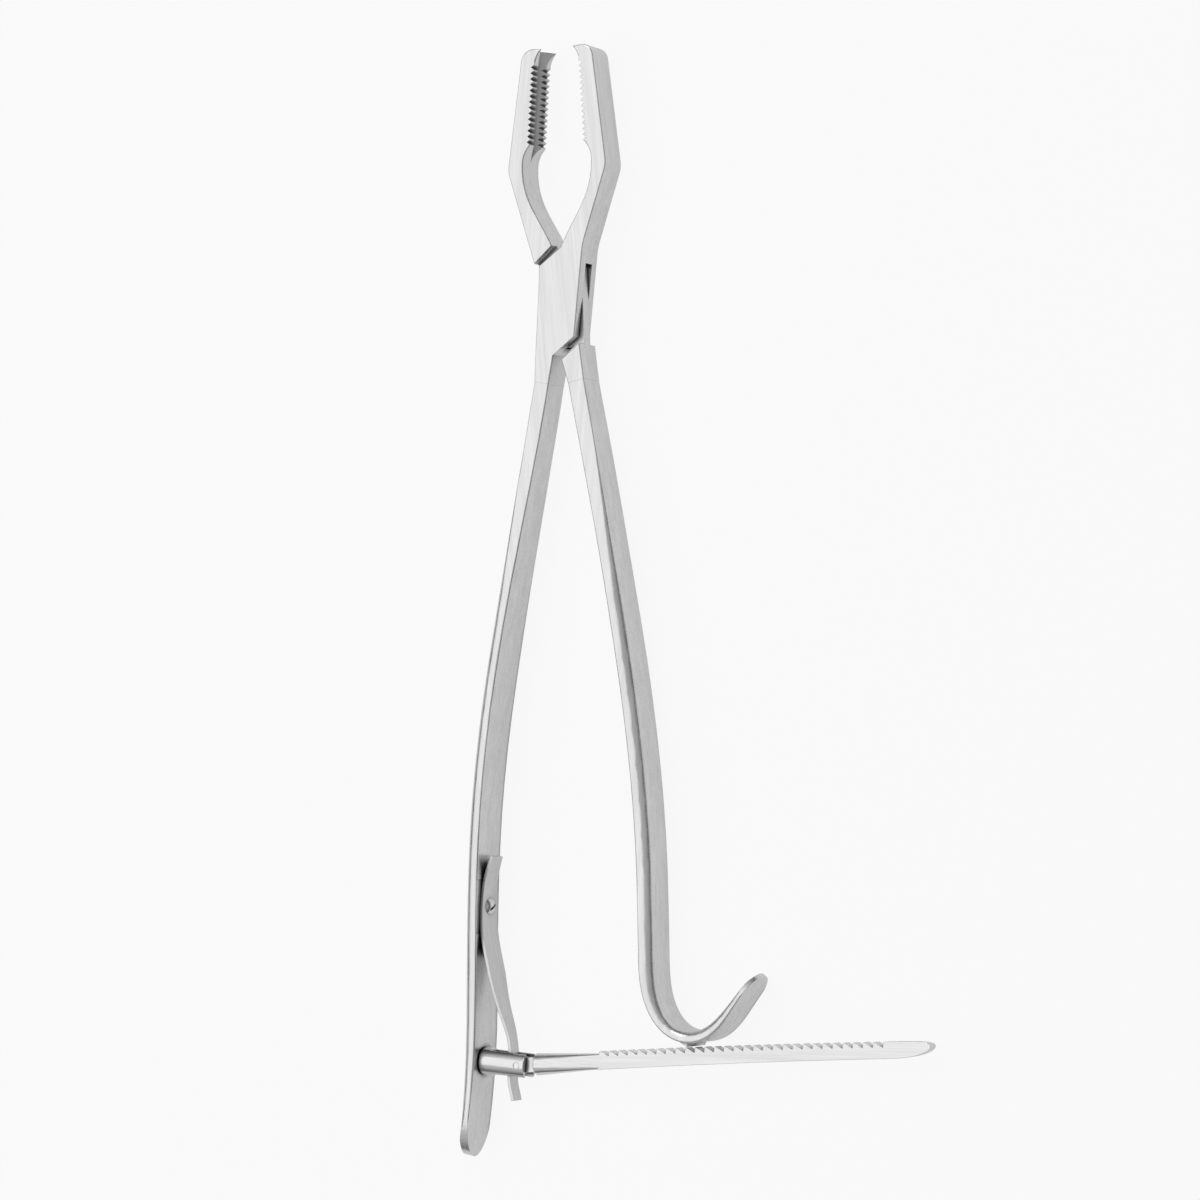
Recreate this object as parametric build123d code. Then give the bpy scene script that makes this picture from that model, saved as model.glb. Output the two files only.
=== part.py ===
from build123d import *
import os
from math import cos, hypot, radians, sin, tan

os.makedirs("parts", exist_ok=True)

# Bone holding forceps, lying on its back. The jaws point along +Y, the hook side is +X
# and the thickness runs along Z. Shapes are drawn about the middle plane of the
# instrument, with the lock's pivot on the Z axis, and lifted at the end so that the
# origin is the middle of the flat back of the box lock.

# Box lock
lock_depth = 9.6
edge_radius = 0.45
tang_thickness = 3.6
tang_side_clearance = 0.06
slot_past_corner = 1.64
slot_end_clearance = 0.3
neck_clearance = 0.35
lock_pin_radius = 2.6
lock_pin_clearance = 0.05
closing_angle = 7.5

# Corners of the box, seen from the front, going round from the inner corner of the jaw
box_inner_top = (1.2, 15.85)
box_left_top = (-6.1, 10.75)
box_left_middle = (-6.5, 0.0)
box_left_bottom = (-7.2, -12.5)
box_inner_bottom = (-1.1, -15.85)
box_right_bottom = (6.1, -10.65)

# The slot for the tang is a disc that reaches past the box's outer corners, so it opens both ends
slot_radius = hypot(*box_left_top) + slot_past_corner

# Shoulders of the hook half, where its tang grows to full depth, and the tang's free corners
jaw_shoulder_inner = (-1.6, 17.0)
jaw_shoulder_outer = (-7.8, 11.7)
handle_shoulder_inner = (1.7, -17.55)
handle_shoulder_outer = (7.9, -12.85)
tang_foot_left = (-5.6, -13.0)
tang_head_right = (6.9, 11.0)

# Jaws, drawn for the right one
jaw_belly = (8.6, 28.8)
jaw_throat = (11.75, 40.8)
throat_bulge = (11.25, 44.5)
tooth_line_start = (9.2, 47.5)
tooth_line_end = (7.7, 71.6)
claw_hollow = (6.8, 74.2)
claw_tip = (5.4, 76.1)
jaw_crown = (11.9, 76.7)
jaw_elbow = (17.0, 40.0)
jaw_root = (9.0, 16.5)
crown_radius = 4.0
elbow_radius = 8.0
root_radius = 20.0

# Teeth across the jaws, and the groove along them
tooth_count = 14
tooth_depth = 1.1
tooth_land = 0.15
groove_depth = 2.2
groove_half_angle = 47.0
groove_lead = 6.0
groove_flank = 8.0

# Handles
handle_depth = 13.2
seam_step = 0.03
inner_edge_radius = 0.6
outer_edge_radius = 2.9
outer_edge_share = 0.68
corner_pieces = 3
left_root = (-5.2, -24.0)
left_root_thickness = 5.0
left_handle_thickness = 4.3
left_bends = [(-11.6, -57.0), (-20.2, -100.0), (-26.9, -146.0), (-28.8, -190.0), (-29.1, -220.0)]
paddle_end = (-32.4, -253.8)
paddle_thickness = 3.0
paddle_start = 0.8
paddle_round_length = 13.0
right_root = (6.65, -24.0)
right_root_thickness = 5.6
right_handle_thickness = 4.6
right_bends = [(14.3, -60.0), (25.1, -117.0), (29.9, -161.0)]

# Hook
hook_root = (30.8, -190.0)
hook_bends = [(31.6, -202.5), (35.0, -211.0), (39.9, -215.3), (46.0, -216.4), (52.5, -213.8),
              (58.5, -207.7)]
hook_tip = (66.3, -198.2)
hook_tip_direction = (0.64, 0.77)
hook_thickness = 3.3
hook_tip_thickness = 1.3
hook_round_length = 8.0

# Catch under the hook
catch_tip = (44.3, -219.2)
catch_flank_start = (35.2, -213.8)
catch_back_height = 1.3
catch_lean = 0.5
catch_depth = 11.2

# Ratchet post and its fork
post_along = 0.877
post_radius = 4.2
post_seat_x = -27.0
post_end_x = -11.8
post_slope = -4.0
post_tenon_radius = 2.4
fork_slot_width = 4.8
fork_slot_bottom = 2.6
hinge_pin = (-14.1, -226.45)
hinge_pin_radius = 1.0
hinge_pin_recess = 0.1
hinge_clearance = 0.05

# Ratchet bar
tongue_clearance = 0.15
eye_radius = 2.5
bar_thickness = 3.6
bar_root_radius = 3.25
bar_root_start = 5.4
bar_root_end = (14.0, -224.45)
bar_root_end_height = 4.4
bar_root_corner = 2.9
bar_end_corner = 0.5
tongue_neck_height = 4.4
first_crest = (13.1, -221.5)
last_crest = (105.6, -216.25)
crest_rise = 0.3
ratchet_tooth_count = 30
ratchet_tooth_height = 1.65
ratchet_tooth_land = 0.2
ratchet_tooth_undercut = 0.3
bar_foot = (12.0, -227.0)
bar_belly = (60.0, -223.6)
bar_tip_bottom = (108.5, -220.9)
bar_tip = (119.9, -216.6)
bar_tip_top = (112.0, -216.0)

# Leaf spring and its screw
screw_along = 0.679
seat_recess = 0.1
seat_run_out = 5.0
spring_thickness = 1.0
spring_width = 8.6
spring_top_taper = 1.6
spring_flat_length = 6.0
spring_top_reach = 15.0
spring_top_lift = 2.4
spring_bends = [(-23.7, -198.0), (-20.8, -209.6), (-18.3, -217.0)]
spring_waist_start = 20.0
spring_waist_end = 39.0
spring_eye_gap = 0.3
spring_heel = (-17.7, -230.7)
spring_tail = (-16.4, -237.0)
spring_tail_clearance = 0.2
screw_head_radius = 2.6
screw_head_height = 1.4
screw_shank_radius = 1.5
screw_shank_length = 3.4
screw_hole_spare = 0.3
screw_slot_width = 0.7
screw_slot_depth = 0.6
screw_slot_turn = 35.0

# How far a cut runs past what it is taken from
overrun = 1.0


def smooth(low, high, start, end, u):
    """Ease from low to high while u goes from start to end."""
    t = min(max((u - start) / (end - start), 0.0), 1.0)
    return low + (high - low) * t * t * (3 - 2 * t)


def turned(point, angle):
    """A plan point turned about the pivot."""
    c, s = cos(radians(angle)), sin(radians(angle))
    return (point[0] * c - point[1] * s, point[0] * s + point[1] * c)


def middle_of(a, b):
    return ((a[0] + b[0]) / 2, (a[1] + b[1]) / 2)


def slab(face, depth):
    """A plan face made into a plate, half its depth each side of the middle plane."""
    return extrude(face, amount=depth / 2, both=True)


def through_cut(*corners):
    """A cutter right through the instrument with the given plan corners."""
    return slab(make_face(Polyline(*corners, close=True)), handle_depth + 2 * overrun)


def rounded_rim(plate, radius, *seams):
    """Rounds the front and back rims of a plate, but not over its seams with its neighbours."""
    top = plate.bounding_box().max.Z
    rim = [edge for edge in plate.edges()
           if abs(abs(edge.center().Z) - top) < seam_step
           and not any((edge.center() - Vector(x, y, edge.center().Z)).length < radius for x, y in seams)]
    return fillet(rim, radius)


# Jaws

def jaw_edges(root_outer):
    """Edges of the right jaw from the inner root, round the tip, to the outer root."""
    inner = Spline(box_inner_top, jaw_belly, jaw_throat, tangents=[(0.45, 1), (0, 1)])
    throat = ThreePointArc(jaw_throat, throat_bulge, tooth_line_start)
    teeth = Line(tooth_line_start, tooth_line_end)
    claw = ThreePointArc(tooth_line_end, claw_hollow, claw_tip)
    radii = [crown_radius, elbow_radius, root_radius][:len(root_outer) + 1]
    outer = FilletPolyline(claw_tip, jaw_crown, jaw_elbow, *root_outer, radius=radii)
    return [inner, throat, teeth, claw, outer]


def cut_jaw_teeth(jaw):
    """Cross grooves make the teeth, and a lengthwise V parts them into two rows and two claws."""
    start = Vector(*tooth_line_start)
    end = Vector(*tooth_line_end)
    along = (end - start).normalized()
    inwards = Vector(along.Y, -along.X)
    pitch = (end - start).length / tooth_count
    flare = (pitch - tooth_land) / 2 * (1 + overrun / tooth_depth)
    for i in range(tooth_count):
        middle = start + along * (pitch * (i + 0.5))
        mouth = middle - inwards * overrun
        jaw -= through_cut(mouth - along * flare, middle + inwards * tooth_depth, mouth + along * flare)
    half_width = (groove_depth + groove_flank) * tan(radians(groove_half_angle))
    vee = Polyline((groove_depth, 0), (-groove_flank, half_width), (-groove_flank, -half_width), close=True)
    foot = Plane(origin=start - along * groove_lead, x_dir=inwards, z_dir=along)
    return jaw - extrude(foot * make_face(vee), amount=(end - start).length + 2 * groove_lead)


# Handles

left_path = Spline(left_root, *left_bends, paddle_end)
right_path = Spline(right_root, *right_bends, hook_root, tangents=[(0.21, -1), (0.02, -1)])
hook_path = Spline(hook_root, *hook_bends, hook_tip, tangents=[(0.02, -1), hook_tip_direction])


def station(path, u):
    """The plane across a centreline, with its X axis towards +X and its Y axis towards +Z."""
    tangent = path % u
    return Plane(origin=path @ u, x_dir=Vector(-tangent.Y, tangent.X, 0), z_dir=tangent)


def corner_arcs(x, y, radius, start_angle):
    """A quarter-round corner, in pieces short enough to skin evenly."""
    step = 90 / corner_pieces
    return [CenterArc((x, y), radius, start_angle + i * step, step) for i in range(corner_pieces)]


def bar_section(width, height, left_radius, right_radius):
    """A rectangle with its left and its right corners rounded."""
    x, y = width / 2, height / 2
    left, right = left_radius - x, x - right_radius
    left_y, right_y = y - left_radius, y - right_radius
    return make_face([
        Line((left, -y), (right, -y)), *corner_arcs(right, -right_y, right_radius, -90),
        Line((x, -right_y), (x, right_y)), *corner_arcs(right, right_y, right_radius, 0),
        Line((right, y), (left, y)), *corner_arcs(left, left_y, left_radius, 90),
        Line((-x, left_y), (-x, -left_y)), *corner_arcs(left, -left_y, left_radius, 180)])


def left_thickness(u):
    thickness = smooth(left_root_thickness - 2 * seam_step, left_handle_thickness, 0.0, 0.3, u)
    return smooth(thickness, paddle_thickness, paddle_start, 1.0, u)


def left_section(u):
    thickness = left_thickness(u)
    depth = smooth(lock_depth - 2 * seam_step, handle_depth, 0.0, 0.4, u)
    outer = smooth(edge_radius, min(outer_edge_radius, outer_edge_share * thickness), 0.08, 0.35, u)
    inner = smooth(edge_radius, inner_edge_radius, 0.08, 0.35, u)
    return bar_section(thickness, depth, outer, inner)


def right_section(u):
    thickness = smooth(right_root_thickness - 2 * seam_step, right_handle_thickness, 0.0, 0.35, u)
    depth = smooth(lock_depth - 2 * seam_step, handle_depth, 0.0, 0.5, u)
    outer = smooth(edge_radius, min(outer_edge_radius, outer_edge_share * thickness), 0.1, 0.45, u)
    inner = smooth(edge_radius, inner_edge_radius, 0.1, 0.45, u)
    return bar_section(thickness, depth, inner, outer)


def hook_section(u):
    thickness = smooth(right_handle_thickness, hook_thickness, 0.1, 0.5, u)
    thickness = smooth(thickness, hook_tip_thickness, 0.6, 1.0, u)
    outer = min(outer_edge_radius, outer_edge_share * thickness)
    inner = min(inner_edge_radius, thickness / 4)
    return bar_section(thickness, handle_depth, inner, outer)


def skin_over(path, count, section_at):
    """Lofts evenly spaced sections along a centreline."""
    return loft([station(path, i / count) * section_at(i / count) for i in range(count + 1)])


def round_end(path, depth, length):
    """What is cut off a flat bar's end to leave it rounded, as half an ellipse."""
    plane = station(path, 1)
    flat = Plane(origin=plane.origin, x_dir=plane.z_dir, z_dir=plane.x_dir)
    block = Pos((overrun - length) / 2, 0) * Rectangle(length + overrun, depth + 2 * overrun)
    nose = Pos(-length, 0) * Ellipse(length, depth / 2)
    return extrude(flat * (block - nose), amount=depth, both=True)


def root_corners(path, thickness):
    """The two plan corners where a handle's bar grows out of the lock, left one first."""
    plane = station(path, 0)
    side = plane.x_dir * (thickness / 2)
    return plane.origin - side, plane.origin + side


# The two forgings

def box_half():
    """Right jaw, slotted box and left handle, forged in one piece."""
    left_corner, right_corner = root_corners(left_path, left_root_thickness)
    plan = make_face([
        *jaw_edges([jaw_root, box_right_bottom]),
        Line(box_right_bottom, box_inner_bottom),
        Line(box_inner_bottom, right_corner),
        Line(right_corner, left_corner),
        Spline(left_corner, box_left_bottom, box_left_middle, box_left_top),
        Line(box_left_top, box_inner_top)])
    half = slab(plan, lock_depth)
    half = rounded_rim(half, edge_radius, left_root, middle_of(box_right_bottom, box_inner_bottom),
                       middle_of(box_left_top, box_inner_top), middle_of(tooth_line_start, tooth_line_end))
    half = cut_jaw_teeth(half)
    half -= Cylinder(slot_radius, tang_thickness + 2 * tang_side_clearance)
    half -= Cylinder(lock_pin_radius, lock_depth + 2 * overrun)
    half += skin_over(left_path, 14, left_section) - round_end(left_path, handle_depth, paddle_round_length)
    return half - post_body() - spring_seat_cut() - screw_hole()


def tang_neck(shoulder_outer, shoulder_inner, box_outer, box_inner):
    """Fills from a shoulder up to the edge of the box, as that lies when the jaws are closed."""
    near = Vector(*turned(box_outer, closing_angle))
    far = Vector(*turned(box_inner, closing_angle))
    along = (far - near).normalized()
    away = Vector(-along.Y, along.X)
    if (Vector(*shoulder_outer) - near).dot(away) < 0:
        away = -away
    gap = away * neck_clearance
    return make_face(Polyline(shoulder_outer, near + gap, far + gap, shoulder_inner, close=True))


def tang():
    """The flat tang inside the box, with the necks that join it to the shoulders."""
    blade = make_face(Polyline(
        jaw_shoulder_outer, tang_foot_left, (0, -slot_radius),
        handle_shoulder_outer, tang_head_right, (0, slot_radius), close=True))
    blade = blade & Circle(slot_radius - slot_end_clearance)
    blade += tang_neck(jaw_shoulder_outer, jaw_shoulder_inner, box_left_top, box_inner_top)
    blade += tang_neck(handle_shoulder_outer, handle_shoulder_inner, box_right_bottom, box_inner_bottom)
    return slab(blade, tang_thickness) - Cylinder(lock_pin_radius + lock_pin_clearance, lock_depth)


def hook_side_jaw():
    """The left jaw: the right one mirrored, and cut off along its own shoulder."""
    foot = (-jaw_shoulder_outer[0], jaw_shoulder_outer[1])
    jaw = slab(make_face([*jaw_edges([foot]), Line(foot, box_inner_top)]), lock_depth)
    jaw = rounded_rim(jaw, edge_radius, middle_of(foot, box_inner_top),
                      middle_of(tooth_line_start, tooth_line_end))
    jaw = mirror(cut_jaw_teeth(jaw), about=Plane.YZ)
    slope = Vector(*jaw_shoulder_inner) - Vector(*jaw_shoulder_outer)
    near = Vector(*jaw_shoulder_outer) - slope
    far = Vector(*jaw_shoulder_inner) + slope
    return jaw - through_cut(near, far, (far.X, 0), (near.X, 0))


def right_handle_root():
    """The full-depth shoulder under the box, from which the right handle grows."""
    left_corner, right_corner = root_corners(right_path, right_root_thickness)
    plan = make_face(Polyline(
        handle_shoulder_inner, handle_shoulder_outer, right_corner, left_corner, close=True))
    return rounded_rim(slab(plan, lock_depth), edge_radius, right_root,
                       middle_of(handle_shoulder_inner, handle_shoulder_outer))


def catch():
    """The wedge filed under the hook, which drops between the ratchet's teeth."""
    heel = Vector(*catch_tip) + Vector(catch_lean, catch_back_height)
    outline = Polyline(catch_flank_start, catch_tip, heel, heel + Vector(0, overrun), close=True)
    return slab(make_face(outline), catch_depth)


def hook_half():
    """Left jaw, tang and right handle with its hook and catch, forged in one piece."""
    handle = skin_over(right_path, 12, right_section)
    hook = skin_over(hook_path, 20, hook_section) - round_end(hook_path, handle_depth, hook_round_length)
    return hook_side_jaw() + tang() + right_handle_root() + handle + hook + catch()


def lock_pin():
    """The rivet of the lock, ground flush with both cheeks."""
    return Cylinder(lock_pin_radius, lock_depth)


# Ratchet

def post_axis_point(x):
    return Vector(x, hinge_pin[1] + (x - hinge_pin[0]) * tan(radians(post_slope)), 0)


def post_body():
    """The round post and its tenon, before the fork is cut and the rivet trimmed."""
    end = post_axis_point(post_end_x)
    seat = post_axis_point(post_seat_x)
    along = (end - seat).normalized()
    body = extrude(Plane(origin=seat, z_dir=along) * Circle(post_radius), amount=(end - seat).length)
    tenon = extrude(Plane(origin=seat, z_dir=-along) * Circle(post_tenon_radius),
                    amount=left_handle_thickness + 2 * overrun)
    return body + tenon


def ratchet_post():
    """Forked post riveted through the left handle, which holds the hinge pin in its two ears."""
    handle = station(left_path, post_along)
    outer_face = Plane(origin=handle.origin - handle.x_dir * (left_thickness(post_along) / 2),
                       x_dir=handle.z_dir, z_dir=-handle.x_dir)
    outside = outer_face * Pos(0, 0, handle_depth / 2) * Box(handle_depth, handle_depth, handle_depth)
    bottom = post_axis_point(post_seat_x + fork_slot_bottom)
    slot_length = post_end_x + overrun - bottom.X
    slot = Pos(bottom.X + slot_length / 2, bottom.Y, 0) * Box(slot_length, handle_depth, fork_slot_width)
    hole = Pos(*hinge_pin, 0) * Cylinder(hinge_pin_radius, handle_depth)
    return post_body() - outside - slot - hole


def ratchet_pin():
    """Hinge pin, tight in the fork's ears and free in the bar's eye."""
    return Pos(*hinge_pin, 0) * Cylinder(hinge_pin_radius, 2 * (post_radius - hinge_pin_recess))


def crest_point(t):
    """A point on the line over the ratchet's crests, from the first to the last."""
    start = Vector(*first_crest)
    return start + (Vector(*last_crest) - start) * t + Vector(0, 4 * crest_rise * t * (1 - t))


def toothed_blade():
    """The flat of the bar, with its saw teeth filed along the top."""
    plan = make_face([
        ThreePointArc(crest_point(0), crest_point(0.5), crest_point(1)),
        Line(crest_point(1), bar_tip_top),
        Spline(bar_tip_top, bar_tip, bar_tip_bottom, tangents=[(1, 0.03), (-1, -0.06)]),
        Spline(bar_tip_bottom, bar_belly, bar_foot),
        Line(bar_foot, crest_point(0))])
    blade = slab(plan, bar_thickness)
    spaces = ratchet_tooth_count - 1
    for i in range(spaces):
        left = crest_point(i / spaces)
        right = crest_point((i + 1) / spaces)
        along = (right - left).normalized()
        down = Vector(along.Y, -along.X)
        valley = right + down * ratchet_tooth_height - along * ratchet_tooth_undercut
        ramp = left + along * ratchet_tooth_land - valley
        wall = right - valley
        blade -= through_cut(valley, valley + ramp * (1 + overrun), valley + wall * (1 + overrun))
    return blade


def ratchet_bar():
    """Toothed bar with a round tapered root and an eye that turns on the pin in the fork."""
    pin = Vector(*hinge_pin)
    end = Vector(*bar_root_end)
    along = (end - pin).normalized()
    across = Vector(-along.Y, along.X)
    start = pin + along * bar_root_start
    round_face = bar_section(2 * bar_root_radius, 2 * bar_root_radius, bar_root_corner, bar_root_corner)
    flat_face = bar_section(
        bar_root_end_height, bar_thickness - 2 * seam_step, bar_end_corner, bar_end_corner)
    root = loft([Plane(origin=start, x_dir=across, z_dir=along) * round_face,
                 Plane(origin=end, x_dir=across, z_dir=along) * flat_face])
    side = across * (tongue_neck_height / 2)
    far = start + along * overrun
    strip = make_face(Polyline(pin - side, far - side, far + side, pin + side, close=True))
    eye = slab(Pos(*hinge_pin) * Circle(eye_radius) + strip, fork_slot_width - 2 * tongue_clearance)
    hole = Pos(*hinge_pin, 0) * Cylinder(hinge_pin_radius + hinge_clearance, handle_depth)
    return toothed_blade() + root + (eye - hole)


# Leaf spring

def spring_seat():
    """The filed flat on the left handle's inner face, X down the handle and Z out of it."""
    handle = station(left_path, screw_along)
    face = handle.origin + handle.x_dir * (left_thickness(screw_along) / 2 - seat_recess)
    return Plane(origin=face, x_dir=handle.z_dir, z_dir=handle.x_dir)


def spring_seat_cut():
    """What is filed off the handle under the spring's flat."""
    length = spring_flat_length + 2 * seat_run_out
    block = Pos(0, 0, overrun / 2) * Box(length, handle_depth + 2 * overrun, overrun)
    return spring_seat() * block


def screw_hole():
    bottom = screw_shank_length + screw_hole_spare
    top = spring_thickness + overrun
    return spring_seat() * Pos(0, 0, (top - bottom) / 2) * Cylinder(screw_shank_radius, top + bottom)


def leaf_spring():
    """Leaf spring, screwed to the left handle, whose tail bears on the bar's eye in the fork."""
    seat = spring_seat()
    down = seat.x_dir
    middle = seat.origin + seat.z_dir * (spring_thickness / 2)
    flat_top = middle - down * (spring_flat_length / 2)
    flat_bottom = middle + down * (spring_flat_length / 2)
    top = middle - down * spring_top_reach + seat.z_dir * spring_top_lift
    eye_side = Vector(*hinge_pin) - Vector(eye_radius + spring_eye_gap + spring_thickness / 2, 0)
    blade = trace(Line(flat_top, flat_bottom), spring_thickness)
    blade += trace(Spline(flat_top, top, tangents=[-down, (top - flat_top).rotate(Axis.Z, -8)]), spring_thickness)
    blade += trace(Spline(flat_bottom, *spring_bends, eye_side, spring_heel, spring_tail,
                          tangents=[down, Vector(*spring_tail) - Vector(*spring_heel)]), spring_thickness)

    half_width = spring_width / 2
    half_tail = fork_slot_width / 2 - spring_tail_clearance
    tail_end = spring_tail[1] - overrun
    edge = [(top.Y + overrun, half_width - spring_top_taper), (middle.Y, half_width),
            (middle.Y - spring_waist_start, half_width), (middle.Y - spring_waist_end, half_tail),
            (tail_end, half_tail)]
    other_edge = [(y, -z) for y, z in reversed(edge)]
    front_view = Plane.YZ * make_face(Polyline(*edge, *other_edge, close=True))
    return (slab(blade, spring_width) & extrude(front_view, amount=middle.length, both=True)) - screw_hole()


def spring_screw():
    """Screw with a domed slotted head."""
    rise = screw_head_height
    dome_radius = (screw_head_radius ** 2 + rise ** 2) / (2 * rise)
    head = Pos(0, 0, rise - dome_radius) * Sphere(dome_radius) & Pos(0, 0, rise / 2) * Cylinder(
        screw_head_radius, rise)
    slot = Pos(0, 0, rise) * Rot(0, 0, screw_slot_turn) * Box(
        screw_slot_width, 2 * screw_head_radius + overrun, 2 * screw_slot_depth)
    length = screw_shank_length + spring_thickness
    shank = Pos(0, 0, -length / 2) * Cylinder(screw_shank_radius, length)
    return spring_seat().offset(spring_thickness) * (head - slot + shank)


def write(name, shape):
    """Lifts a piece so that the back of the lock lies at zero, and writes it."""
    export_step(Pos(0, 0, lock_depth / 2) * shape, "parts/" + name + ".step")


write("box_half", box_half())
write("hook_half", hook_half())
write("lock_pin", lock_pin())
write("ratchet_post", ratchet_post())
write("ratchet_pin", ratchet_pin())
write("ratchet_bar", ratchet_bar())
write("leaf_spring", leaf_spring())
write("spring_screw", spring_screw())
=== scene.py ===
import math

import bmesh
import bpy
from bpy.props import FloatProperty, FloatVectorProperty, PointerProperty
from mathutils import Matrix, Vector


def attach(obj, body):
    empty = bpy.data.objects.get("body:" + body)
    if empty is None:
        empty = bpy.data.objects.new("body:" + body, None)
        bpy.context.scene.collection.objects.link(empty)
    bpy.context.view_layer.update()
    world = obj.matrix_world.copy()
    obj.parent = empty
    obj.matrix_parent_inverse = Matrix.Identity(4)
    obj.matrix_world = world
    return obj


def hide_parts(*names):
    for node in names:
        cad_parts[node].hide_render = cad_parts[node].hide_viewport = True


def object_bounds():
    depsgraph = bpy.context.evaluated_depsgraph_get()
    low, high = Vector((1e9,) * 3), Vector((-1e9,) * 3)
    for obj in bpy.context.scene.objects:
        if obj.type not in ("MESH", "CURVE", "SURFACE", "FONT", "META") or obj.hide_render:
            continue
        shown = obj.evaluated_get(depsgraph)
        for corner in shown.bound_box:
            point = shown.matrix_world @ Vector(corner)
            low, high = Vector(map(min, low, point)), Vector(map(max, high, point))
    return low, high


bl_info = {
    "name": "Bone holding forceps",
    "version": (1, 0, 0),
    "blender": (4, 5, 0),
    "location": "View3D > Sidebar > Forceps",
    "description": "Dresses a box lock bone holding forceps in brushed steel and sets it on a pale table",
    "category": "Object",
}

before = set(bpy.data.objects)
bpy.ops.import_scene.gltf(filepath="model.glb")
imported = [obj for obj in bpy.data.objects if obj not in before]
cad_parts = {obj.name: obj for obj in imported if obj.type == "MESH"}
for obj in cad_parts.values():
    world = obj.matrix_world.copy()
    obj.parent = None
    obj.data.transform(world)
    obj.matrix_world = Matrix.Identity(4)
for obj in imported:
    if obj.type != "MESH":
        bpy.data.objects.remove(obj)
cad_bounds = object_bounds()

# The camera stands above the instrument and to its right, and looks down to the left at a point
# between the handles: its place, and the directions of its right side, its top and its back.
CAMERA_PLACE = (0.624904, -0.151729, 1.068155)
CAMERA_RIGHT = (0.86647, 0.0, -0.49923)
CAMERA_UP = (0.02553, 0.99869, 0.04431)
CAMERA_BACK = (0.49858, -0.05113, 0.86533)

# Width of the camera's sensor in millimetres.
SENSOR_WIDTH = 36.0

# Points closer than this are one point of a piece.
MERGE_DISTANCE = 0.000001

# Turn of the brush pattern's coordinates on each piece: its lines lean as much the other way.
LEFT_HANDLE_BRUSH = math.radians(-6)
RIGHT_HANDLE_BRUSH = math.radians(6)
SPRING_BRUSH = math.radians(-8)
SCREW_BRUSH = math.radians(40)
RATCHET_BRUSH = math.radians(90)

# Depth of the brush lines in each finish, as a share of the satin one.
POLISHED_GRAIN = 0.5
SPRING_GRAIN = 0.8

# Brightness of the darkest and the brightest brush line, as a share of the steel's colour.
DARK_LINE = 0.88
BRIGHT_LINE = 1.07

# Change of roughness in the darkest brush line, the brightest one, a smudge and a rubbed edge.
DARK_LINE_SMOOTHER = 0.03
BRIGHT_LINE_ROUGHER = 0.05
SMUDGE_ROUGHER = 0.035
EDGE_SMOOTHER = 0.06

# Colour of edges rubbed bright and of painted shade in recesses, tooth roots and gaps between
# pieces, how much of each shows at most, and the distance within which other faces darken a recess.
EDGE_COLOUR = (0.90, 0.90, 0.90)
EDGE_SHARE = 0.6
PAINTED_SHADE_COLOUR = (0.05, 0.05, 0.052)
PAINTED_SHADE_SHARE = 0.92
RECESS_DEPTH = 0.0018

# Size of the smudges, distance between stray scratches, and their height in depths of the grain,
# negative because they are cut in.
SMUDGE_SIZE = 0.035
SCRATCH_SPACING = 0.009
SCRATCH_HEIGHT = -0.5

# Place, width and height of the lamps.
SOFTBOX = ((-0.70, -0.01, 1.21), 1.5, 2.0)
GLINT_LAMP = ((-0.35, 0.95, 1.10), 0.3, 0.3)

# Half the table's width, its middle under the instrument, and the gap between the two.
TABLE_HALF_WIDTH = 4.0
TABLE_MIDDLE_Y = -0.08
TABLE_GAP = 0.00005

# Brightness of the table's faint clouds, as a share of its colour.
FAINT_CLOUD = 0.985

# Brightness of the room's walls and ceiling, where 1 is white, and the share of it on the right.
WALL_LIGHT = 0.08
CEILING_LIGHT = 0.54
RIGHT_SIDE_LIGHT = 0.75


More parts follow.
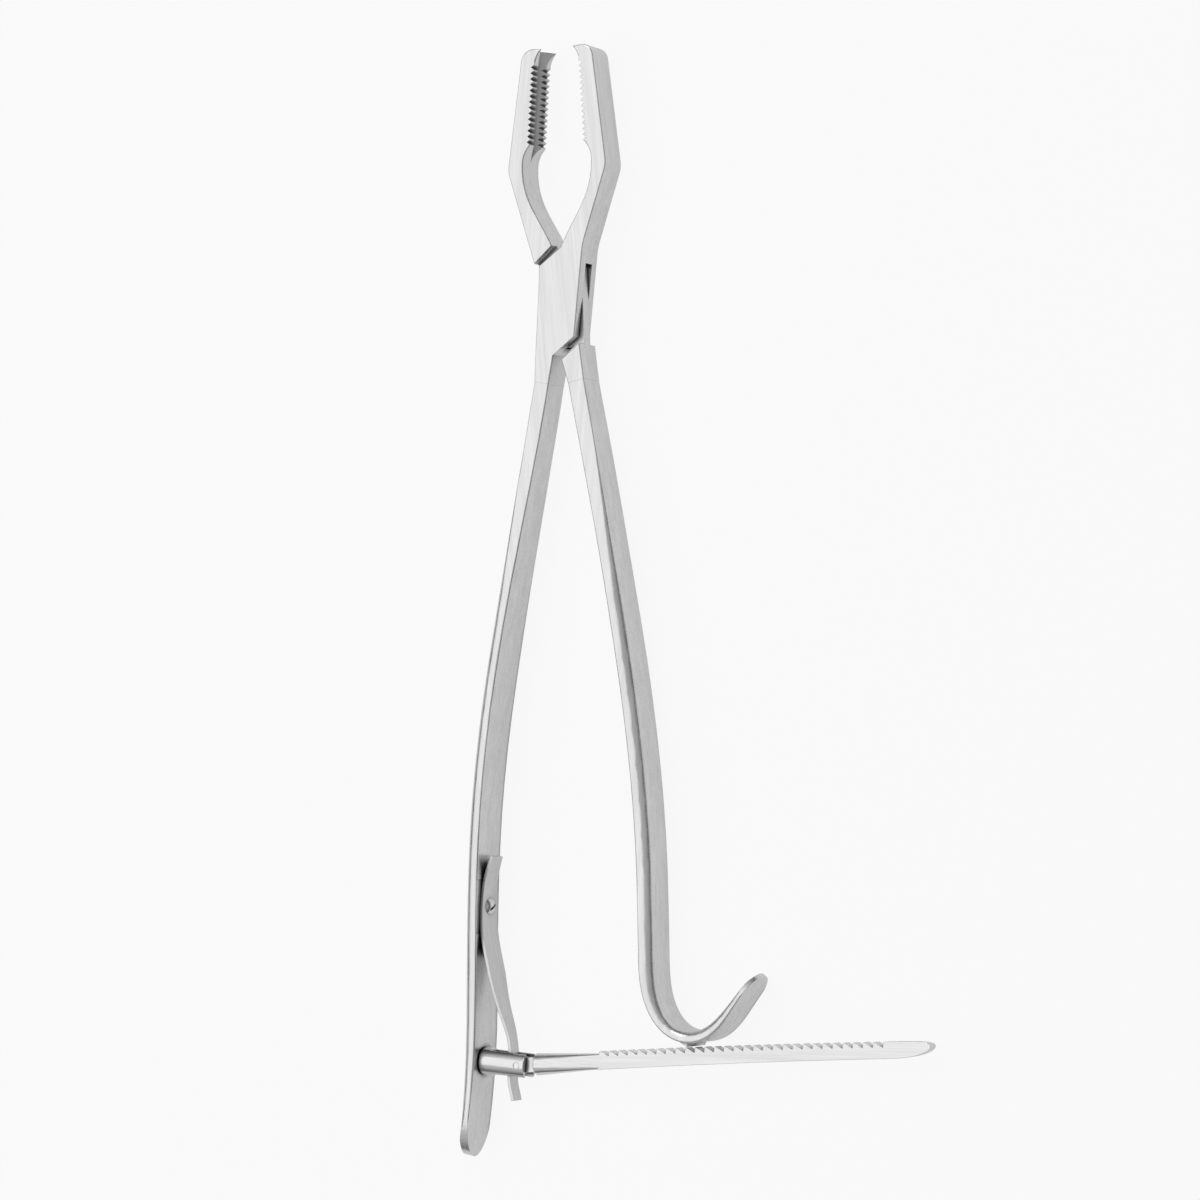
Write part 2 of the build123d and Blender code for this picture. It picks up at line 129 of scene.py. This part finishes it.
class ForcepsSteel(bpy.types.PropertyGroup):
    """Colours and surface of the three steel finishes."""

    satin_colour: FloatVectorProperty(
        name="Satin colour", description="Colour of the brushed forgings",
        subtype="COLOR", size=3, min=0.0, max=1.0, default=(0.80, 0.80, 0.80))
    satin_roughness: FloatProperty(
        name="Satin roughness", description="Softness of the reflections in the brushed forgings",
        subtype="FACTOR", min=0.02, max=1.0, default=0.27)
    polished_colour: FloatVectorProperty(
        name="Polished colour", description="Colour of the ratchet, its post and pin, and the screw",
        subtype="COLOR", size=3, min=0.0, max=1.0, default=(0.82, 0.82, 0.82))
    polished_roughness: FloatProperty(
        name="Polished roughness", description="Softness of the reflections in the small polished pieces",
        subtype="FACTOR", min=0.02, max=1.0, default=0.19)
    spring_colour: FloatVectorProperty(
        name="Spring colour", description="Colour of the tempered leaf spring",
        subtype="COLOR", size=3, min=0.0, max=1.0, default=(0.72, 0.72, 0.72))
    spring_roughness: FloatProperty(
        name="Spring roughness", description="Softness of the reflections in the leaf spring",
        subtype="FACTOR", min=0.02, max=1.0, default=0.24)
    grain_pitch: FloatProperty(
        name="Grain pitch", description="Distance between two brush lines",
        subtype="DISTANCE", min=0.00005, max=0.005, default=0.00045, precision=5)
    grain_length: FloatProperty(
        name="Grain length", description="Length of one brush line",
        subtype="DISTANCE", min=0.001, max=0.2, default=0.022, precision=4)
    grain_depth: FloatProperty(
        name="Grain depth", description="Depth of the brush lines",
        subtype="DISTANCE", min=0.0, max=0.0001, default=0.000009, precision=7)
    edge_radius: FloatProperty(
        name="Edge radius", description="Radius of the hand-rounded edges",
        subtype="DISTANCE", min=0.0, max=0.002, default=0.00025, precision=5)
    ground_radius: FloatProperty(
        name="Ground radius",
        description="Distance from the lock's axis within which the cheeks are ground flat",
        subtype="DISTANCE", min=0.0, max=0.01, default=0.0034, precision=5)
    smooth_angle: FloatProperty(
        name="Smooth angle", description="Two faces that meet at less than this are one curved surface",
        subtype="ANGLE", min=0.0, max=math.pi, default=math.radians(28))


class ForcepsStage(bpy.types.PropertyGroup):
    """Table, lamps and camera."""

    table_colour: FloatVectorProperty(
        name="Table colour", description="Colour of the table and the backdrop",
        subtype="COLOR", size=3, min=0.0, max=1.0, default=(0.70, 0.70, 0.70))
    table_glow: FloatProperty(
        name="Table brightness", description="Share of plain white that the camera sees in the table",
        subtype="FACTOR", min=0.0, max=1.0, default=0.91)
    table_reflection: FloatProperty(
        name="Table reflection",
        description="Share of plain white that the steel reflects from the table",
        subtype="FACTOR", min=0.0, max=1.0, default=0.48)
    softbox_strength: FloatProperty(
        name="Softbox", description="Brightness of the softbox, where 1 is white",
        min=0.0, max=10.0, default=0.50)
    glint_strength: FloatProperty(
        name="Glint lamp",
        description="Brightness of the small lamp that lights the edges, where 1 is white",
        min=0.0, max=40.0, default=8.0)
    lens: FloatProperty(
        name="Lens", description="Focal length of the camera in millimetres",
        min=10.0, max=500.0, default=124.8)


def set_inputs(node, values):
    """Set a node's named inputs, each named with an underscore for a space."""
    for name, value in values.items():
        node.inputs[name.replace("_", " ")].default_value = value


def add_node(tree, kind, **inputs):
    """A node of a tree, with the values of its named inputs."""
    made = tree.nodes.new(kind)
    set_inputs(made, inputs)
    return made


def math_node(tree, operation, first, second):
    """A maths node on two values, each a number or another node's output."""
    made = tree.nodes.new("ShaderNodeMath")
    made.operation = operation
    for socket, value in zip(made.inputs, (first, second)):
        if isinstance(value, (int, float)):
            socket.default_value = value
        else:
            tree.links.new(value, socket)
    return made.outputs["Value"]


def range_node(tree, value, low, high, to_low, to_high):
    """A value moved from one range to another, clamped to it."""
    made = add_node(
        tree, "ShaderNodeMapRange", From_Min=low, From_Max=high, To_Min=to_low, To_Max=to_high)
    tree.links.new(value, made.inputs["Value"])
    return made.outputs["Result"]


def mix_colour(tree, share, first, second):
    """Two colours mixed by a share, each a colour or another node's output."""
    made = tree.nodes.new("ShaderNodeMix")
    made.data_type = "RGBA"
    for label, colour in (("A", first), ("B", second)):
        if isinstance(colour, bpy.types.NodeSocket):
            tree.links.new(colour, made.inputs[label])
        else:
            made.inputs[label].default_value = (*colour, 1.0)
    tree.links.new(share, made.inputs["Factor"])
    return made.outputs["Result"]


def shaded(colour, brightness):
    """A colour made darker or brighter, up to white."""
    return [min(1.0, brightness * part) for part in colour]


def new_group(name, inputs, outputs):
    """An empty node group with named inputs (kind and default) and outputs (kind)."""
    group = bpy.data.node_groups.new(name, "ShaderNodeTree")
    for label, (kind, default) in inputs.items():
        socket = group.interface.new_socket(name=label, in_out="INPUT", socket_type=kind)
        if default is not None:
            socket.default_value = default
    for label, kind in outputs.items():
        group.interface.new_socket(name=label, in_out="OUTPUT", socket_type=kind)
    return group, group.nodes.new("NodeGroupInput"), group.nodes.new("NodeGroupOutput")


def brushed_grain():
    """Group: long fine brush lines that run along Y of the vector it gets."""
    name = "brushed grain"
    if name in bpy.data.node_groups:
        return bpy.data.node_groups[name]
    group, start, end = new_group(
        name,
        {"Vector": ("NodeSocketVector", None),
         "Pitch": ("NodeSocketFloat", 0.00045),
         "Length": ("NodeSocketFloat", 0.022)},
        {"Height": "NodeSocketFloat", "Tone": "NodeSocketFloat"})
    across = math_node(group, "DIVIDE", 1.0, start.outputs["Pitch"])
    along = math_node(group, "DIVIDE", 1.0, start.outputs["Length"])
    stretch = group.nodes.new("ShaderNodeCombineXYZ")
    group.links.new(across, stretch.inputs["X"])
    group.links.new(along, stretch.inputs["Y"])
    group.links.new(across, stretch.inputs["Z"])
    scaled = group.nodes.new("ShaderNodeVectorMath")
    scaled.operation = "MULTIPLY"
    group.links.new(start.outputs["Vector"], scaled.inputs[0])
    group.links.new(stretch.outputs["Vector"], scaled.inputs[1])
    fine = add_node(group, "ShaderNodeTexNoise", Scale=1.0, Detail=3.0, Roughness=0.55)
    coarse = add_node(group, "ShaderNodeTexNoise", Scale=0.23, Detail=2.0, Roughness=0.5)
    group.links.new(scaled.outputs["Vector"], fine.inputs["Vector"])
    group.links.new(scaled.outputs["Vector"], coarse.inputs["Vector"])
    height = math_node(group, "ADD", fine.outputs["Fac"], coarse.outputs["Fac"])
    group.links.new(height, end.inputs["Height"])
    group.links.new(range_node(group, height, 0.65, 1.35, 0.0, 1.0), end.inputs["Tone"])
    return group


def handling_marks():
    """Group: soft smudges and thin stray scratches of a handled instrument."""
    name = "handling marks"
    if name in bpy.data.node_groups:
        return bpy.data.node_groups[name]
    group, start, end = new_group(
        name,
        {"Vector": ("NodeSocketVector", None),
         "Smudge size": ("NodeSocketFloat", 0.03),
         "Scratch spacing": ("NodeSocketFloat", 0.006)},
        {"Smudge": "NodeSocketFloat", "Scratch": "NodeSocketFloat"})
    smudge_scale = math_node(group, "DIVIDE", 1.0, start.outputs["Smudge size"])
    smudge = add_node(group, "ShaderNodeTexNoise", Detail=4.0, Roughness=0.6, Distortion=0.4)
    group.links.new(start.outputs["Vector"], smudge.inputs["Vector"])
    group.links.new(smudge_scale, smudge.inputs["Scale"])
    shown = range_node(group, smudge.outputs["Fac"], 0.42, 0.66, 0.0, 1.0)
    group.links.new(shown, end.inputs["Smudge"])
    turn = add_node(group, "ShaderNodeMapping", Rotation=(0.3, 0.2, 0.9), Scale=(1.0, 0.12, 1.0))
    group.links.new(start.outputs["Vector"], turn.inputs["Vector"])
    scratch_scale = math_node(group, "DIVIDE", 1.0, start.outputs["Scratch spacing"])
    scratch = add_node(group, "ShaderNodeTexNoise", Detail=1.0, Roughness=0.5)
    group.links.new(turn.outputs["Vector"], scratch.inputs["Vector"])
    group.links.new(scratch_scale, scratch.inputs["Scale"])
    middle = math_node(group, "SUBTRACT", scratch.outputs["Fac"], 0.5)
    thin = range_node(group, math_node(group, "ABSOLUTE", middle, 0.0), 0.0, 0.006, 1.0, 0.0)
    patches = range_node(group, smudge.outputs["Fac"], 0.5, 0.6, 0.0, 1.0)
    patchy = math_node(group, "MULTIPLY", thin, patches)
    group.links.new(patchy, end.inputs["Scratch"])
    return group


def rounded_edges():
    """Group: a normal that rounds sharp edges off, and a mask of where it does."""
    name = "rounded edges"
    if name in bpy.data.node_groups:
        return bpy.data.node_groups[name]
    group, start, end = new_group(
        name,
        {"Radius": ("NodeSocketFloat", 0.00025)},
        {"Normal": "NodeSocketVector", "Edge": "NodeSocketFloat"})
    rounding = group.nodes.new("ShaderNodeBevel")
    rounding.samples = 6
    surface = group.nodes.new("ShaderNodeNewGeometry")
    group.links.new(start.outputs["Radius"], rounding.inputs["Radius"])
    compare = group.nodes.new("ShaderNodeVectorMath")
    compare.operation = "DOT_PRODUCT"
    group.links.new(rounding.outputs["Normal"], compare.inputs[0])
    group.links.new(surface.outputs["Normal"], compare.inputs[1])
    group.links.new(rounding.outputs["Normal"], end.inputs["Normal"])
    edge = range_node(group, compare.outputs["Value"], 0.80, 0.995, 1.0, 0.0)
    group.links.new(edge, end.inputs["Edge"])
    return group


def painted_recess_shade():
    """Group: a mask of painted shade in tooth roots, recesses and narrow gaps between pieces, where other
    faces come close.
    """
    name = "recess tarnish"
    if name in bpy.data.node_groups:
        return bpy.data.node_groups[name]
    group, start, end = new_group(
        name,
        {"Depth": ("NodeSocketFloat", 0.0012)},
        {"Recess": "NodeSocketFloat"})
    openness = group.nodes.new("ShaderNodeAmbientOcclusion")
    openness.samples = 8
    group.links.new(start.outputs["Depth"], openness.inputs["Distance"])
    recess = range_node(group, openness.outputs["AO"], 0.45, 0.97, 1.0, 0.0)
    group.links.new(recess, end.inputs["Recess"])
    return group


def place_group(tree, group, **inputs):
    """A node group placed in a material, with the values of its named inputs."""
    made = tree.nodes.new("ShaderNodeGroup")
    made.node_tree = group
    set_inputs(made, inputs)
    return made


def rounding_radius(tree, place):
    """Radius of the rounded edges: none near the lock's axis, where the rivet is ground flush."""
    settings = bpy.context.scene.forceps_steel
    flat = tree.nodes.new("ShaderNodeVectorMath")
    flat.operation = "MULTIPLY"
    flat.inputs[1].default_value = (1.0, 1.0, 0.0)
    tree.links.new(place, flat.inputs[0])
    distance = tree.nodes.new("ShaderNodeVectorMath")
    distance.operation = "LENGTH"
    tree.links.new(flat.outputs["Vector"], distance.inputs[0])
    outside = math_node(tree, "GREATER_THAN", distance.outputs["Value"], settings.ground_radius)
    return math_node(tree, "MULTIPLY", outside, settings.edge_radius)


def steel(name, colour, roughness, turn, grain=1.0):
    """Brushed steel whose brush lines lie at an angle to the length of the instrument."""
    finish = bpy.context.scene.forceps_steel
    material = bpy.data.materials.new(name)
    material.use_nodes = True
    tree = material.node_tree
    tree.nodes.clear()
    place = tree.nodes.new("ShaderNodeTexCoord")
    turned = add_node(tree, "ShaderNodeMapping", Rotation=(0.0, 0.0, turn))
    tree.links.new(place.outputs["Object"], turned.inputs["Vector"])

    brush = place_group(tree, brushed_grain(), Pitch=finish.grain_pitch, Length=finish.grain_length)
    marks = place_group(tree, handling_marks(), Smudge_size=SMUDGE_SIZE, Scratch_spacing=SCRATCH_SPACING)
    edges = place_group(tree, rounded_edges())
    tree.links.new(rounding_radius(tree, place.outputs["Object"]), edges.inputs["Radius"])
    tree.links.new(turned.outputs["Vector"], brush.inputs["Vector"])
    tree.links.new(turned.outputs["Vector"], marks.inputs["Vector"])

    dark = shaded(colour, DARK_LINE)
    bright = shaded(colour, BRIGHT_LINE)
    tint = mix_colour(tree, brush.outputs["Tone"], dark, bright)
    edge_share = math_node(tree, "MULTIPLY", edges.outputs["Edge"], EDGE_SHARE)
    worn = mix_colour(tree, edge_share, tint, EDGE_COLOUR)
    # Painted shade: the colour darkens to near black in tooth roots, recesses and gaps between pieces,
    # where other faces come close.
    recess = place_group(tree, painted_recess_shade(), Depth=RECESS_DEPTH)
    shade_amount = math_node(tree, "MULTIPLY", recess.outputs["Recess"], PAINTED_SHADE_SHARE)
    with_painted_shade = mix_colour(tree, shade_amount, worn, PAINTED_SHADE_COLOUR)

    grainy = range_node(
        tree, brush.outputs["Tone"], 0.0, 1.0, roughness - DARK_LINE_SMOOTHER,
        roughness + BRIGHT_LINE_ROUGHER)
    smudge = math_node(tree, "MULTIPLY", marks.outputs["Smudge"], SMUDGE_ROUGHER)
    smudged = math_node(tree, "ADD", grainy, smudge)
    rub = math_node(tree, "MULTIPLY", edges.outputs["Edge"], EDGE_SMOOTHER)
    rubbed = math_node(tree, "SUBTRACT", smudged, rub)

    scratched = math_node(tree, "MULTIPLY", marks.outputs["Scratch"], SCRATCH_HEIGHT)
    relief = add_node(tree, "ShaderNodeBump", Strength=1.0, Distance=finish.grain_depth * grain)
    height = math_node(tree, "ADD", brush.outputs["Height"], scratched)
    tree.links.new(height, relief.inputs["Height"])
    tree.links.new(edges.outputs["Normal"], relief.inputs["Normal"])

    shader = add_node(tree, "ShaderNodeBsdfPrincipled", Metallic=1.0)
    output = tree.nodes.new("ShaderNodeOutputMaterial")
    tree.links.new(with_painted_shade, shader.inputs["Base Color"])
    tree.links.new(rubbed, shader.inputs["Roughness"])
    tree.links.new(relief.outputs["Normal"], shader.inputs["Normal"])
    tree.links.new(shader.outputs["BSDF"], output.inputs["Surface"])
    return material


def satin(name, turn):
    """Satin steel of the two forgings and of the rivet that is ground flush with them."""
    finish = bpy.context.scene.forceps_steel
    return steel(name, finish.satin_colour, finish.satin_roughness, turn)


def polished(name, turn):
    """Polished steel of the ratchet, its post and pin, and the screw."""
    finish = bpy.context.scene.forceps_steel
    return steel(name, finish.polished_colour, finish.polished_roughness, turn, POLISHED_GRAIN)


def tempered(name, turn):
    """Tempered steel of the leaf spring."""
    finish = bpy.context.scene.forceps_steel
    return steel(name, finish.spring_colour, finish.spring_roughness, turn, SPRING_GRAIN)


def dressed_piece(name, node, body, material):
    """A smooth-shaded piece made from a merged copy of a CAD node, which it hides."""
    angle = bpy.context.scene.forceps_steel.smooth_angle
    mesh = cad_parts[node].data.copy()
    mesh.name = name
    bm = bmesh.new()
    bm.from_mesh(mesh)
    bmesh.ops.remove_doubles(bm, verts=bm.verts[:], dist=MERGE_DISTANCE)
    bmesh.ops.dissolve_degenerate(bm, edges=bm.edges[:], dist=MERGE_DISTANCE)
    for face in bm.faces:
        face.smooth = True
        face.material_index = 0
    for edge in bm.edges:
        edge.smooth = edge.is_manifold and edge.calc_face_angle(0.0) < angle
    bm.to_mesh(mesh)
    bm.free()
    if "custom_normal" in mesh.attributes:
        mesh.attributes.remove(mesh.attributes["custom_normal"])
    mesh.materials.clear()
    mesh.materials.append(material)
    piece = bpy.data.objects.new(name, mesh)
    bpy.context.scene.collection.objects.link(piece)
    normals = piece.modifiers.new("even normals", "WEIGHTED_NORMAL")
    normals.mode = "FACE_AREA"
    normals.keep_sharp = True
    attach(piece, body)
    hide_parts(node)


class FORCEPS_OT_box_half(bpy.types.Operator):
    """Dress the forging with the right jaw, the box of the lock and the left handle"""

    bl_idname = "forceps.box_half"
    bl_label = "Box half"

    def execute(self, context):
        forging = satin("satin steel of the box half", LEFT_HANDLE_BRUSH)
        dressed_piece("box_half_forging", "box_half", "box_half", forging)
        return {"FINISHED"}


class FORCEPS_OT_hook_half(bpy.types.Operator):
    """Dress the forging with the left jaw, the tang, the right handle and its hook"""

    bl_idname = "forceps.hook_half"
    bl_label = "Hook half"

    def execute(self, context):
        forging = satin("satin steel of the hook half", RIGHT_HANDLE_BRUSH)
        dressed_piece("hook_half_forging", "hook_half", "hook_half", forging)
        return {"FINISHED"}


class FORCEPS_OT_lock_pin(bpy.types.Operator):
    """Dress the rivet of the box lock, ground flush with both cheeks"""

    bl_idname = "forceps.lock_pin"
    bl_label = "Lock pin"

    def execute(self, context):
        ground = satin("ground steel of the lock rivet", LEFT_HANDLE_BRUSH)
        dressed_piece("lock_rivet", "lock_pin", "box_half", ground)
        return {"FINISHED"}


class FORCEPS_OT_ratchet(bpy.types.Operator):
    """Dress the forked post, its hinge pin and the toothed ratchet bar"""

    bl_idname = "forceps.ratchet"
    bl_label = "Ratchet"

    def execute(self, context):
        crosswise = polished("polished steel of the ratchet", RATCHET_BRUSH)
        dressed_piece("fork_post", "ratchet_post", "box_half", crosswise)
        dressed_piece("hinge_rivet", "ratchet_pin", "box_half", crosswise)
        dressed_piece("ratchet_arm", "ratchet_bar", "ratchet_bar", crosswise)
        return {"FINISHED"}


class FORCEPS_OT_leaf_spring(bpy.types.Operator):
    """Dress the leaf spring on the left handle and the slotted screw that holds it"""

    bl_idname = "forceps.leaf_spring"
    bl_label = "Leaf spring"

    def execute(self, context):
        blade = tempered("tempered steel of the spring", SPRING_BRUSH)
        dressed_piece("leaf_spring_blade", "leaf_spring", "box_half", blade)
        screw = polished("polished steel of the screw", SCREW_BRUSH)
        dressed_piece("spring_fixing_screw", "spring_screw", "box_half", screw)
        return {"FINISHED"}


def white_share(tree, settings):
    """How much plain white a camera, glossy or transmission ray gets from the table."""
    ray = tree.nodes.new("ShaderNodeLightPath")
    camera = math_node(tree, "MULTIPLY", ray.outputs["Is Camera Ray"], settings.table_glow)
    bounced = math_node(tree, "ADD", ray.outputs["Is Glossy Ray"], ray.outputs["Is Transmission Ray"])
    bounced = math_node(tree, "MULTIPLY", bounced, settings.table_reflection)
    return math_node(tree, "ADD", camera, bounced)


def table_material(settings):
    """Pale matt table that the camera sees nearly white, with the instrument's soft shadow."""
    material = bpy.data.materials.new("pale table")
    material.use_nodes = True
    tree = material.node_tree
    tree.nodes.clear()
    place = tree.nodes.new("ShaderNodeTexCoord")
    cloud = add_node(tree, "ShaderNodeTexNoise", Scale=6.0, Detail=2.0)
    tree.links.new(place.outputs["Object"], cloud.inputs["Vector"])
    faint = shaded(settings.table_colour, FAINT_CLOUD)
    tint = mix_colour(tree, cloud.outputs["Fac"], faint, settings.table_colour)
    matt = add_node(tree, "ShaderNodeBsdfDiffuse")
    glow = add_node(tree, "ShaderNodeEmission", Color=(1.0, 1.0, 1.0, 1.0), Strength=1.0)
    mixed = tree.nodes.new("ShaderNodeMixShader")
    output = tree.nodes.new("ShaderNodeOutputMaterial")
    tree.links.new(tint, matt.inputs["Color"])
    tree.links.new(white_share(tree, settings), mixed.inputs["Fac"])
    tree.links.new(matt.outputs["BSDF"], mixed.inputs[1])
    tree.links.new(glow.outputs["Emission"], mixed.inputs[2])
    tree.links.new(mixed.outputs["Shader"], output.inputs["Surface"])
    return material


def studio_world():
    """Light ceiling over dim walls, darker on the right, and white where the camera sees it."""
    world = bpy.data.worlds.new("studio room")
    world.use_nodes = True
    tree = world.node_tree
    tree.nodes.clear()
    place = tree.nodes.new("ShaderNodeTexCoord")
    parts = tree.nodes.new("ShaderNodeSeparateXYZ")
    tree.links.new(place.outputs["Generated"], parts.inputs["Vector"])
    upward = range_node(tree, parts.outputs["Z"], 0.12, 0.62, WALL_LIGHT, CEILING_LIGHT)
    sideways = range_node(tree, parts.outputs["X"], -0.7, 0.75, 1.0, RIGHT_SIDE_LIGHT)
    room = math_node(tree, "MULTIPLY", upward, sideways)
    ray = tree.nodes.new("ShaderNodeLightPath")
    level = tree.nodes.new("ShaderNodeMix")
    tree.links.new(ray.outputs["Is Camera Ray"], level.inputs["Factor"])
    tree.links.new(room, level.inputs["A"])
    level.inputs["B"].default_value = 1.0
    sky = add_node(tree, "ShaderNodeBackground", Color=(1.0, 1.0, 1.0, 1.0))
    output = tree.nodes.new("ShaderNodeOutputWorld")
    tree.links.new(level.outputs["Result"], sky.inputs["Strength"])
    tree.links.new(sky.outputs["Background"], output.inputs["Surface"])
    return world


def lamp(name, place, width, height, strength):
    """A rectangular lamp that faces the lock, its surface as bright as its strength says."""
    data = bpy.data.lights.new(name, "AREA")
    data.shape = "RECTANGLE"
    data.size = width
    data.size_y = height
    data.energy = strength * math.pi * width * height
    lamp_object = bpy.data.objects.new(name, data)
    bpy.context.scene.collection.objects.link(lamp_object)
    lamp_object.location = place
    lamp_object.rotation_euler = lamp_object.location.to_track_quat("Z", "Y").to_euler()
    lamp_object.visible_camera = False


class FORCEPS_OT_stage(bpy.types.Operator):
    """Set the table, the room, the lamps and the camera"""

    bl_idname = "forceps.stage"
    bl_label = "Stage"

    def execute(self, context):
        settings = context.scene.forceps_stage
        bm = bmesh.new()
        bmesh.ops.create_grid(bm, x_segments=8, y_segments=8, size=TABLE_HALF_WIDTH)
        middle = (0.0, TABLE_MIDDLE_Y, cad_bounds[0][2] - TABLE_GAP)
        bmesh.ops.translate(bm, verts=bm.verts[:], vec=middle)
        mesh = bpy.data.meshes.new("table_top")
        bm.to_mesh(mesh)
        bm.free()
        mesh.materials.append(table_material(settings))
        table = bpy.data.objects.new("table_top", mesh)
        context.scene.collection.objects.link(table)

        context.scene.world = studio_world()
        lamp("softbox", *SOFTBOX, settings.softbox_strength)
        lamp("glint lamp", *GLINT_LAMP, settings.glint_strength)

        camera = bpy.data.cameras.new("photo camera")
        camera.sensor_width = SENSOR_WIDTH
        camera.lens = settings.lens
        camera_object = bpy.data.objects.new("photo camera", camera)
        context.scene.collection.objects.link(camera_object)
        columns = Matrix((CAMERA_RIGHT, CAMERA_UP, CAMERA_BACK)).transposed()
        camera_object.matrix_world = Matrix.Translation(CAMERA_PLACE) @ columns.to_4x4()
        context.scene.camera = camera_object
        context.scene.view_settings.view_transform = "Standard"
        return {"FINISHED"}


class FORCEPS_PT_sidebar(bpy.types.Panel):
    """Lists the steps that dress the forceps"""

    bl_idname = "FORCEPS_PT_sidebar"
    bl_label = "Bone holding forceps"
    bl_space_type = "VIEW_3D"
    bl_region_type = "UI"
    bl_category = "Forceps"

    def draw(self, context):
        layout = self.layout
        for step in STEPS:
            layout.operator(step.bl_idname)
        for settings in (context.scene.forceps_steel, context.scene.forceps_stage):
            for name in settings.__annotations__:
                layout.prop(settings, name)


STEPS = (
    FORCEPS_OT_box_half,
    FORCEPS_OT_hook_half,
    FORCEPS_OT_lock_pin,
    FORCEPS_OT_ratchet,
    FORCEPS_OT_leaf_spring,
    FORCEPS_OT_stage,
)
CLASSES = (ForcepsSteel, ForcepsStage, *STEPS, FORCEPS_PT_sidebar)


def register():
    for each in CLASSES:
        bpy.utils.register_class(each)
    bpy.types.Scene.forceps_steel = PointerProperty(type=ForcepsSteel)
    bpy.types.Scene.forceps_stage = PointerProperty(type=ForcepsStage)


def unregister():
    del bpy.types.Scene.forceps_stage
    del bpy.types.Scene.forceps_steel
    for each in reversed(CLASSES):
        bpy.utils.unregister_class(each)


def main():
    register()
    bpy.ops.forceps.box_half()
    bpy.ops.forceps.hook_half()
    bpy.ops.forceps.lock_pin()
    bpy.ops.forceps.ratchet()
    bpy.ops.forceps.leaf_spring()
    bpy.ops.forceps.stage()


if __name__ == "__main__":
    main()
